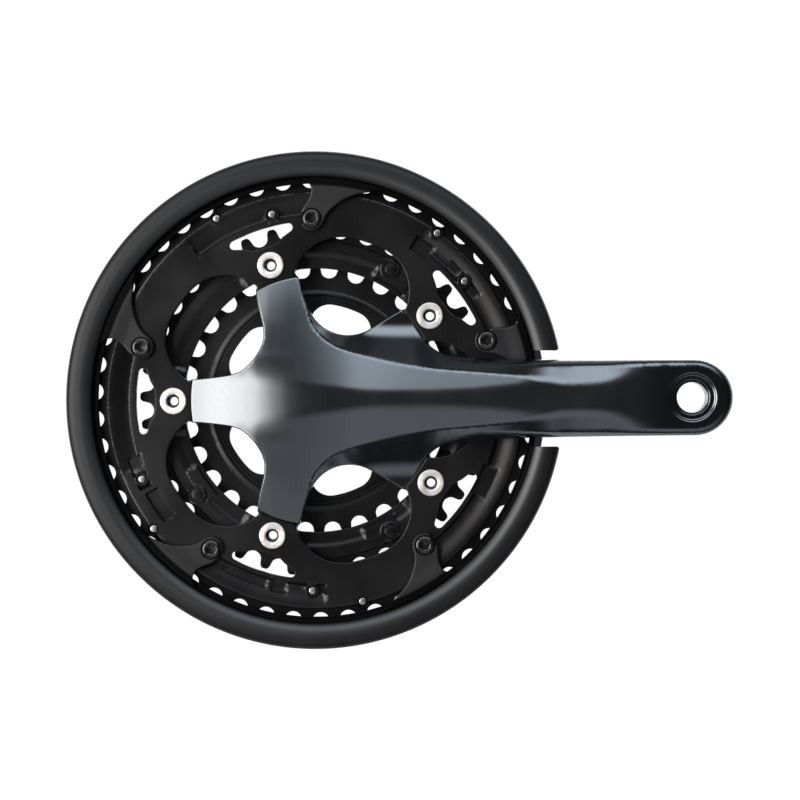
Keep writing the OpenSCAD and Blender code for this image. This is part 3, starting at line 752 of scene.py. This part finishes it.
def make_guard_rim():
    section = joined(curve(GUARD_SECTION_TOP, 0.4), curve(GUARD_SECTION_SIDE, 0.8),
                     curve(GUARD_SECTION_BACK, 0.8))
    section[:, 0] = np.minimum(section[:, 0], GUARD_R)
    r, u = section.T
    corner = 1.7
    past = np.clip(r - (GUARD_R - corner), 0, corner)
    past = past + np.clip(GUARD_INNER_R + corner - r, 0, corner)
    edge_y = GUARD_GAP + corner - np.sqrt(np.clip(corner**2 - past**2, 0, None))
    end = np.degrees(np.arcsin(edge_y / r))
    half_way = np.linspace(0, 0.5, 260)
    share = np.concatenate([half_way, 1 - half_way[-2::-1]])
    angles = end + (360 - 2 * end) * share[:, None]
    vertices = [np.column_stack([polar(r, a), u]) for a in angles]
    n, m = len(section), len(share)
    faces = []
    for k in range(m - 1):
        i = k * n + np.arange(n)
        j = k * n + (np.arange(n) + 1) % n
        faces += [*np.column_stack([i, i + n, j + n, j])]
    faces += [range(n), range(m * n - 1, (m - 1) * n - 1, -1)]
    return place("guard_rim", np.vstack(vertices), faces, GUARD_SHARP)


def guard_tab_outline(web):
    """A tab for a screw on the +x axis: an eye whose arm leans back into the rim.

    web fills the corner ahead of the arm by that much.
    """
    loop = joined(
        arc((GUARD_SCREW_R, 0), 5.5, -118, -242, 0.4),
        curve([(87.3, 4.4), (89, 3.2 + 0.35 * web), (91.2, 1.6 + 0.7 * web),
               (93.6, 0.4 + 0.9 * web), (96, web), (97.9, 0.3 + web), (99.2, 1.4 + web),
               (101.2, 4.3 + web)], 0.5),
        arc((0, 0), 101.6, 2.6 + 0.56 * web, -19.2),
        curve([(94.9, -31.4), (94.4, -26.5), (93.4, -20.8), (91.6, -15.6), (88.6, -10.9),
               (85, -7.2), (80.6, -5.1)]))
    return loop[::-1]


def guard_tab_front(x, y):
    """Rises towards the rim, with a counterbore for the screw's head."""
    r = np.hypot(x, y)
    u = GUARD_TAB_U + 0.6 * rise((r - 90) / 8)
    return u - 1.1 * rise((4.75 - apart(x, y, (GUARD_SCREW_R, 0))) / 0.3)


def guard_tab_back(x, y):
    """Lies flat on the outer ring as far as the ring's rim."""
    return OUTER_FRONT_U + 2.1 * rise((np.hypot(x, y) - 93.6) / 0.6)


def make_guard():
    lines = around((GUARD_SCREW_R, 0), (4.4, 4.62, 4.78), 0.4)
    front = Face(guard_tab_front, [0.6, 0.05], lines, step=0.9, turns=(20, 45, 70, 90))
    step_lines = [arc((0, 0), r, -25, 5, 0.7) for r in (93.5, 93.9, 94.25)]
    back = Face(guard_tab_back, [0.25, 0.05], step_lines, step=1.4, turns=(45, 90))
    pieces = [make_guard_rim()]
    for a, web in zip(GUARD_ANGLES, (2.7, 0, 0, 0, 0)):
        hole = circle((GUARD_SCREW_R, 0), 2.15, 0.4, clockwise=True)
        tab = plate("guard_tab", [guard_tab_outline(web), hole], front, back)
        tab.rotation_euler.y = -math.radians(a)
        pieces.append(tab)
    pieces.append(make_guard_bridge())
    return fused("chain_guard_moulding", pieces, GUARD_SHARP)


def flat_face(u):
    return Face(lambda x, y: np.full(len(x), u), [0.2], step=1.5, turns=(45, 90))


def make_guard_bridge():
    """The rim's inner lip carries on behind the crank, across the gap left for it."""
    half = math.degrees(math.asin((GUARD_GAP + 3) / GUARD_R))
    loop = joined(arc((0, 0), 105.3, -half, half), arc((0, 0), 99.3, half, -half))
    return plate("guard_bridge", [loop], flat_face(55.2), flat_face(54.0))


def fused(name, pieces, sharp):
    """One solid from several that overlap."""
    first = pieces[0]
    for other in pieces[1:]:
        cut = first.modifiers.new("union", "BOOLEAN")
        cut.operation = "UNION"
        cut.solver = "MANIFOLD"
        cut.object = other
    bpy.context.view_layer.update()
    graph = bpy.context.evaluated_depsgraph_get()
    mesh = bpy.data.meshes.new_from_object(first.evaluated_get(graph))
    mesh.name = name
    result = added(name, smoothed(mesh, sharp))
    for piece in pieces:
        bpy.data.objects.remove(piece)
    return result


# ---- fasteners


def hexagon(across, corner=0.25):
    """Radius of a hexagonal socket in each direction, its corners slightly rounded."""
    def radius(theta):
        flat = across / 2 / np.cos((theta + math.pi / 6) % (math.pi / 3) - math.pi / 6)
        return np.minimum(flat, across / 2 / math.cos(math.pi / 6) - corner * 0.3)
    return radius


def mark_turning(piece, centres):
    """Stores each vertex's distance from its own part's axis, for turned metal."""
    co = np.array([v.co for v in piece.data.vertices]) / MM
    centres = np.array(centres)
    r = np.hypot(co[:, None, 0] - centres[:, 0], co[:, None, 2] - centres[:, 1]).min(1)
    attribute = piece.data.attributes.new("turning_r", "FLOAT", "POINT")
    attribute.data.foreach_set("value", r.astype(np.float32))
    return piece


def lathe(rings, centre=(0, 0), spin=0, n=72):
    """Vertices and faces of a closed turned part; each ring is (radius or shape, u)."""
    theta = np.arange(n) * 2 * math.pi / n
    points = []
    for radius, u in rings:
        r = radius(theta) if callable(radius) else np.full(n, float(radius))
        a = theta + math.radians(spin)
        points.append(np.column_stack([
            centre[0] + r * np.cos(a), centre[1] + r * np.sin(a), np.full(n, u)]))
    m = len(rings)
    faces = []
    for k in range(m):
        i = k * n + np.arange(n)
        j = k * n + (np.arange(n) + 1) % n
        up = ((k + 1) % m - k) * n
        faces.append(np.column_stack([i, j, j + up, i + up]))
    return np.vstack(points), np.vstack(faces)


def rounded(r, u, radius, quarter, turns=(0, 30, 60, 90)):
    """Rings round a turned part's edge at (r, u), which points (out, up), each 1 or -1."""
    out, up = quarter
    middle_r, middle_u = r - out * radius, u - up * radius
    return [(middle_r + out * radius * math.cos(math.radians(t)),
             middle_u + up * radius * math.sin(math.radians(t))) for t in turns]


def gather(name, parts, sharp=35):
    """One object from several sets of vertices and faces."""
    vertices, faces, start = [], [], 0
    for v, f in parts:
        vertices.append(v)
        faces += [*(f + start)]
        start += len(v)
    return place(name, np.vstack(vertices), faces, sharp)


def turned_set(name, rings, r, spins, n=72):
    """One turned part on each spider arm, at radius r."""
    centres = [polar(r, a) for a in ARM_ANGLES]
    parts = [lathe(rings, centre, spin, n) for centre, spin in zip(centres, spins)]
    return mark_turning(gather(name, parts), centres)


BOLT_HEAD_R = 6.1
BOLT_HEAD = 1.1
BOLT_SOCKET = hexagon(5.0)
# How far each bolt and screw is turned, in degrees.
BOLT_SPINS = (12, 47, 3, 31, 22)
SCREW_SPINS = (8, 33, 51, 17, 40)


def make_ring_bolts():
    front = OUTER_FRONT_U
    top = front + BOLT_HEAD
    end = front - 5.6
    rings = [(3.9, end), (3.9, front), (BOLT_HEAD_R - 0.15, front)]
    rings += rounded(BOLT_HEAD_R, top, 0.45, (1, 1))
    rings += [(5.2, top), (4.2, top), (3.25, top), (3.05, top - 0.12)]
    rings += [(BOLT_SOCKET, top - 0.4), (BOLT_SOCKET, top - 4.0), (1.9, top - 4.2), (1.9, end)]
    return turned_set("chainring_bolt_set", rings, BOLT_R, BOLT_SPINS, 96)


def make_ring_nuts():
    back = MIDDLE_BACK_U
    bottom = back - BOLT_HEAD
    sleeve_end = OUTER_FRONT_U - 0.6
    rings = [(3.95, back - 0.4), (3.95, sleeve_end), (5.0, sleeve_end), (5.0, back)]
    rings += [(5.9, back)] + rounded(BOLT_HEAD_R, bottom, 0.4, (1, -1))
    rings += [(2.7, bottom), (2.4, bottom + 0.3), (2.4, back - 0.4)]
    return turned_set("chainring_nut_set", rings, BOLT_R, [0] * 5)


def make_inner_bolts():
    back = INNER_BACK_U
    bottom = back - 2.8
    end = back + 8.5
    head_r = 6.4
    rings = [(3.95, back), (3.95, end), (0.05, end), (0.05, back), (BOLT_SOCKET, back - 0.02)]
    rings += [(BOLT_SOCKET, bottom + 0.35), (3.4, bottom)]
    rings += rounded(head_r, bottom, 0.5, (1, -1))[::-1]
    rings += [(head_r, back)]
    return turned_set("inner_ring_bolt_set", rings, SMALL_BOLT_R, [10] * 5)


def make_guard_screws():
    low, top = GUARD_TAB_U - 1.0, GUARD_TAB_U + 1.0
    head_r = 3.98
    socket = hexagon(4.0, 0.1)
    rings = [(1.95, OUTER_BACK_U), (1.95, low), (3.9, low)]
    rings += [(head_r, low + 0.2), (head_r, top - 0.5), (3.88, top - 0.2), (3.6, top),
              (3.3, top + 0.12), (2.75, top + 0.2), (2.4, top + 0.05)]
    rings += [(socket, top - 0.25), (socket, top - 1.5), (0.05, top - 1.7), (0.05, OUTER_BACK_U)]
    return gather("guard_screw_set",
                  [lathe(rings, polar(GUARD_SCREW_R, a), s)
                   for a, s in zip(GUARD_ANGLES, SCREW_SPINS)])


def make_pins(name, places, radius, back, front):
    """Riveted pins: a round-edged front end, and a wider head behind the ring."""
    head_r, head_u = radius + 0.7, back - 1.4
    rings = [(0.05, front)] + rounded(radius, front, 0.35, (1, 1))[::-1]
    rings += [(radius, back), (radius + 0.5, back), (head_r, back - 0.25)]
    rings += [(head_r, back - 1.1), (radius + 0.45, head_u), (0.05, head_u)]
    return gather(name, [lathe(rings, polar(r, a), 0, 40) for a, r in places])


# ---- materials


class Nodes:
    """Short calls for building a material's node tree."""

    def __init__(self, name):
        self.material = bpy.data.materials.new(name)
        self.material.use_nodes = True
        self.tree = self.material.node_tree
        self.shader = self.tree.nodes["Principled BSDF"]

    def add(self, kind, settings=None, **inputs):
        node = self.tree.nodes.new(kind)
        for key, value in (settings or {}).items():
            setattr(node, key, value)
        for key, value in inputs.items():
            self.feed(node.inputs[key.replace("_", " ")], value)
        return node

    def feed(self, socket, value):
        if isinstance(value, bpy.types.NodeSocket):
            self.tree.links.new(value, socket)
        elif isinstance(value, bpy.types.Node):
            self.tree.links.new(value.outputs[0], socket)
        else:
            socket.default_value = value

    def noise(self, scale, detail=3.0, stretch=None):
        where = self.add("ShaderNodeTexCoord").outputs["Object"]
        if stretch:
            where = self.add("ShaderNodeMapping", Vector=where, Scale=stretch).outputs[0]
        return self.add("ShaderNodeTexNoise", Vector=where, Scale=scale, Detail=detail).outputs[0]

    def between(self, value, low=0, high=1, from_low=0.3, from_high=0.7):
        """value carried from its own range to low..high; most noise lies in 0.3..0.7."""
        return self.add("ShaderNodeMapRange", Value=value, From_Min=from_low, From_Max=from_high,
                        To_Min=low, To_Max=high).outputs[0]

    def mixed(self, data_type, sockets, values):
        node = self.add("ShaderNodeMix", {"data_type": data_type})
        for socket, value in zip(sockets, values):
            self.feed(node.inputs[socket], value)
        return node

    def mix(self, factor, a, b):
        return self.mixed("RGBA", (0, 6, 7), (factor, a, b)).outputs[2]

    def blend(self, factor, a, b):
        return self.mixed("FLOAT", (0, 2, 3), (factor, a, b)).outputs[0]

    def from_axle(self):
        """Distance from the axle's axis, in metres."""
        flat = self.add("ShaderNodeVectorMath", {"operation": "MULTIPLY"})
        self.feed(flat.inputs[0], self.add("ShaderNodeTexCoord").outputs["Object"])
        flat.inputs[1].default_value = (1, 0, 1)
        r = self.add("ShaderNodeVectorMath", {"operation": "LENGTH"})
        self.feed(r.inputs[0], flat)
        return r.outputs["Value"]

    def bump(self, height, strength, distance):
        node = self.add("ShaderNodeBump", Height=height, Strength=strength, Distance=distance)
        return node.outputs[0]

    def shades(self, factor, dark, light):
        return self.mix(factor, (*dark, 1), (*light, 1))

    def finish(self, **inputs):
        for key, value in inputs.items():
            self.feed(self.shader.inputs[key.replace("_", " ")], value)
        return self.material


def satin_paint(name):
    n = Nodes(name)
    flake = n.noise(5200, 1.0)
    haze = n.noise(42, 4.0)
    base = n.shades(n.between(flake), (0.125, 0.142, 0.160), (0.160, 0.178, 0.198))
    return n.finish(Base_Color=base, Metallic=1.0, Roughness=n.between(haze, 0.19, 0.22),
                    Normal=n.bump(flake, 0.03, 0.00005))


def anodised_black(name):
    n = Nodes(name)
    grain = n.noise(3800, 2.0)
    cloud = n.noise(35, 3.0)
    base = n.shades(n.between(cloud), (0.004, 0.004, 0.005), (0.009, 0.009, 0.010))
    # The outer ring's teeth, outside its face, have their specular turned down: painted shade under
    # the guard's overhang.
    gloss_and_painted_shade = n.between(n.from_axle(), 0.55, 0.05, 0.0950, 0.0954)
    return n.finish(Base_Color=base, Metallic=0.15, Roughness=n.between(cloud, 0.25, 0.33),
                    Specular_IOR_Level=gloss_and_painted_shade, Specular_Tint=(0.90, 0.95, 1.0, 1),
                    Normal=n.bump(grain, 0.10, 0.00005))


def moulded_black(name):
    n = Nodes(name)
    grain = n.noise(2600, 3.0)
    cloud = n.noise(25, 2.0)
    base = n.shades(n.between(cloud), (0.008, 0.008, 0.009), (0.012, 0.012, 0.013))
    # The rim's thin inner lip is painted near black with its specular turned down, as painted shade
    # under the crown, and the rim is glossiest inside its crown.
    r = n.from_axle()
    past_tabs = n.between(r, 0, 1, 0.0976, 0.0984)
    past_lip = n.between(r, 0, 1, 0.1016, 0.1026)
    # Near-black base on the inner lip: painted shade.
    base = n.mix(past_tabs, base, n.mix(past_lip, (0.002, 0.002, 0.002, 1), base))
    crown = n.between(r, 0.9, 0.32, 0.105, 0.109)
    gloss_and_painted_shade = n.blend(past_tabs, 0.52, n.blend(past_lip, 0.05, crown))
    return n.finish(Base_Color=base, Metallic=0.0, Roughness=n.between(cloud, 0.40, 0.46),
                    Specular_IOR_Level=gloss_and_painted_shade, Specular_Tint=(0.84, 0.92, 1.0, 1),
                    Normal=n.bump(grain, 0.07, 0.00006))


def turned_metal(name, tint, roughness, lines=9000):
    n = Nodes(name)
    scratch = n.noise(lines, 1.0, (1, 0.15, 1))
    cloud = n.noise(120, 3.0)
    return n.finish(Base_Color=n.shades(n.between(cloud), *tint), Metallic=1.0,
                    Roughness=n.between(scratch, roughness - 0.05, roughness + 0.05),
                    Normal=n.bump(scratch, 0.12, 0.00004))


def faced_metal(name):
    """Bright aluminium with the fine concentric lines of a facing cut, and sockets painted dark as
    painted shade.
    """
    line_pitch = 0.22
    socket_r, face_r = 3.0, 3.2
    n = Nodes(name)
    r = n.add("ShaderNodeAttribute", {"attribute_name": "turning_r"}).outputs["Fac"]
    turns = n.add("ShaderNodeMath", {"operation": "MULTIPLY"})
    n.feed(turns.inputs[0], r)
    turns.inputs[1].default_value = 2 * math.pi / line_pitch
    wave = n.add("ShaderNodeMath", {"operation": "SINE"})
    n.feed(wave.inputs[0], turns)
    cloud = n.noise(300, 3.0)
    bright = n.shades(n.between(cloud), (0.80, 0.81, 0.82), (0.92, 0.92, 0.93))
    # Inside socket_r the base is painted near black: painted shade in the hex sockets.
    base = n.mix(n.between(r, 0, 1, socket_r, face_r), (0.05, 0.05, 0.05, 1), bright)
    return n.finish(Base_Color=base, Metallic=0.75, Roughness=n.between(cloud, 0.30, 0.38),
                    Normal=n.bump(wave, 1.0, 0.000009))


def gloss_black(name):
    n = Nodes(name)
    cloud = n.noise(180, 2.0)
    base = n.shades(cloud, (0.016, 0.016, 0.018), (0.028, 0.028, 0.031))
    return n.finish(Base_Color=base, Metallic=0.35, Roughness=n.between(cloud, 0.14, 0.2),
                    Specular_IOR_Level=1.0)


def soft_black(name, roughness):
    n = Nodes(name)
    grain = n.noise(1800, 3.0)
    base = n.shades(grain, (0.014, 0.014, 0.015), (0.026, 0.026, 0.028))
    return n.finish(Base_Color=base,
                    Roughness=n.between(grain, roughness - 0.05, roughness + 0.05),
                    Normal=n.bump(grain, 0.12, 0.00008))


STEEL = ((0.50, 0.50, 0.51), (0.64, 0.64, 0.65))
GROUND_STEEL = ((0.50, 0.51, 0.53), (0.6, 0.61, 0.63))
HARD_STEEL = ((0.66, 0.67, 0.69), (0.74, 0.75, 0.77))
BRASS = ((0.55, 0.42, 0.20), (0.66, 0.52, 0.28))

FINISHES = {name: make(name, *settings) for name, make, *settings in (
    ("arm_paint", satin_paint),
    ("ring_black", anodised_black),
    ("guard_plastic", moulded_black),
    ("bolt_silver", faced_metal),
    ("screw_black", gloss_black),
    ("pin_steel", turned_metal, STEEL, 0.3),
    ("axle_steel", turned_metal, GROUND_STEEL, 0.24, 5000),
    ("cup_black", soft_black, 0.34),
    ("sleeve_plastic", soft_black, 0.5),
    ("seal_rubber", soft_black, 0.65),
    ("bearing_steel", turned_metal, HARD_STEEL, 0.12, 3000),
    ("cage_brass", turned_metal, BRASS, 0.25, 4000),
)}


def dress(piece, slot_name):
    piece.data.materials.clear()
    piece.data.materials.append(FINISHES[slot_name])


# Each finer piece: its CAD node and finish, what draws it, and with which values.
PIECES = [
    ("crank_arm", "arm_paint", make_crank_arm),
    ("outer_chainring", "ring_black", make_outer_ring),
    ("middle_chainring", "ring_black", make_middle_ring),
    ("inner_chainring", "ring_black", make_inner_ring),
    ("chain_guard", "guard_plastic", make_guard),
    ("chainring_bolts", "bolt_silver", make_ring_bolts),
    ("chainring_nuts", "bolt_silver", make_ring_nuts),
    ("inner_ring_bolts", "bolt_silver", make_inner_bolts),
    ("guard_screws", "screw_black", make_guard_screws),
    ("outer_ring_pins", "pin_steel", make_pins,
     "outer_pin_set", OUTER_PINS, PIN_R, OUTER_BACK_U, OUTER_FRONT_U + 0.25),
    ("middle_ring_pins", "ring_black", make_pins,
     "middle_pin_set", MIDDLE_PINS, MIDDLE_PIN_R, MIDDLE_BACK_U, MIDDLE_FRONT_U + 1.7),
]

replaced = set()
for node, slot_name, make, *settings in PIECES:
    piece = make(*settings)
    piece.modifiers.new("weighted_normals", "WEIGHTED_NORMAL").keep_sharp = True
    dress(piece, slot_name)
    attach(piece, "crank")
    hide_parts(node)
    replaced.add(node)

# The other CAD parts are shown as they are, with their sharp edges broken.
slots = {part["node"]: part["material_slot"] for part in frame["record"]["subparts"]}
for name, piece in nodes.items():
    if name in replaced:
        continue
    bevel = piece.modifiers.new("edge_break", "BEVEL")
    bevel.width = 0.00015
    bevel.segments = 2
    bevel.limit_method = "ANGLE"
    bevel.angle_limit = math.radians(35)
    dress(piece, slots[name])

# ---- studio


def make_floor():
    side, front, back, level = 1.0, -0.1, 1.6, -1.0
    mesh = bpy.data.meshes.new("floor")
    corners = [(x, y, level) for x, y in (
        (-side, front), (side, front), (side, back), (-side, back))]
    mesh.from_pydata(corners, [], [(0, 1, 2, 3)])
    floor = added("floor", mesh)
    n = Nodes("floor_paper")
    base = n.shades(n.noise(8, 2.0), (0.78, 0.78, 0.78), (0.84, 0.84, 0.84))
    mesh.materials.append(n.finish(Base_Color=base, Roughness=0.9))


def aim(piece, target):
    away = piece.location - Vector(target)
    piece.rotation_euler = away.to_track_quat("Z", "Y").to_euler()


def smooth_ramp(tree, value, from_min, from_max, to_min=0, to_max=1):
    ramp = tree.nodes.new("ShaderNodeMapRange")
    ramp.interpolation_type = "SMOOTHSTEP"
    for name, limit in (("From Min", from_min), ("From Max", from_max),
                        ("To Min", to_min), ("To Max", to_max)):
        ramp.inputs[name].default_value = limit
    tree.links.new(value, ramp.inputs["Value"])
    return ramp.outputs[0]


def soft_box(name, place_at, target, size, power, tint=(1, 1, 1), fade=0.36):
    """An area light whose brightness falls off towards its edges, like a diffusing cloth."""
    grown = 1 / (1 - fade)
    light = bpy.data.lights.new(name, "AREA")
    light.shape = "RECTANGLE"
    light.size, light.size_y = size[0] * grown, size[1] * grown
    light.energy = power * grown**2
    light.color = tint
    light.use_nodes = True
    tree = light.node_tree
    across = tree.nodes.new("ShaderNodeSeparateXYZ")
    tree.links.new(tree.nodes.new("ShaderNodeNewGeometry").outputs["Parametric"], across.inputs[0])
    ramps = [smooth_ramp(tree, across.outputs[axis], edge, full)
             for axis in ("X", "Y") for edge, full in ((0, fade), (1, 1 - fade))]
    level = ramps[0]
    for ramp in ramps[1:]:
        product = tree.nodes.new("ShaderNodeMath")
        product.operation = "MULTIPLY"
        tree.links.new(level, product.inputs[0])
        tree.links.new(ramp, product.inputs[1])
        level = product.outputs[0]
    tree.links.new(level, tree.nodes["Emission"].inputs["Strength"])
    box = added(name, light)
    box.location = place_at
    aim(box, target)


def make_lights():
    centre = (0.04, -0.06, 0)
    soft_box("top_front", (0.04, -0.83, 0.81), centre, (1.5, 0.66), 7.8, (0.93, 0.97, 1.0))
    soft_box("left_front", (-0.8, -0.86, 0.05), (-0.03, -0.06, 0), (0.81, 0.9), 16.0,
             (1.0, 0.91, 0.82), 0.26)
    soft_box("under_front", (0.1, -0.92, -0.68), centre, (1.4, 0.8), 1.9, (1.0, 0.98, 1.0), 0.45)
    soft_box("back_top", (0.3, 0.9, 0.7), centre, (1.2, 0.8), 9)
    soft_box("back_low", (-0.5, 0.9, -0.1), centre, (0.7, 0.9), 4)


def make_world():
    """A white backdrop for the camera, and a room that is dark in front and light behind."""
    world = bpy.data.worlds.new("studio")
    bpy.context.scene.world = world
    world.use_nodes = True
    tree = world.node_tree
    direction = tree.nodes.new("ShaderNodeSeparateXYZ")
    tree.links.new(tree.nodes.new("ShaderNodeTexCoord").outputs["Generated"], direction.inputs[0])
    wall = smooth_ramp(tree, direction.outputs["Y"], -0.25, 0.55, 0.02, 0.85)
    backdrop = tree.nodes.new("ShaderNodeMix")
    backdrop.inputs["B"].default_value = 1.05
    seen = tree.nodes.new("ShaderNodeLightPath").outputs["Is Camera Ray"]
    tree.links.new(seen, backdrop.inputs["Factor"])
    tree.links.new(wall, backdrop.inputs["A"])
    background = tree.nodes["Background"]
    background.inputs["Color"].default_value = (1, 1, 1, 1)
    tree.links.new(backdrop.outputs[0], background.inputs["Strength"])


def make_camera():
    """The photograph's view: square on to the rings, a little to the right of the axle."""
    distance, seen_width = 1050, 366
    sensor = 36
    data = bpy.data.cameras.new("camera")
    data.sensor_width = sensor
    data.lens = sensor * distance / seen_width
    data.shift_x = -0.0686
    data.shift_y = 0.0063
    data.clip_start = 0.01
    camera = added("camera", data)
    camera.location = (63.8 * MM, -(OUTER_FRONT_U + distance) * MM, -2.7 * MM)
    camera.rotation_euler = (math.radians(90), math.radians(0.4), 0)
    bpy.context.scene.camera = camera


make_floor()
make_lights()
make_world()
make_camera()
bpy.context.scene.view_settings.view_transform = "Standard"
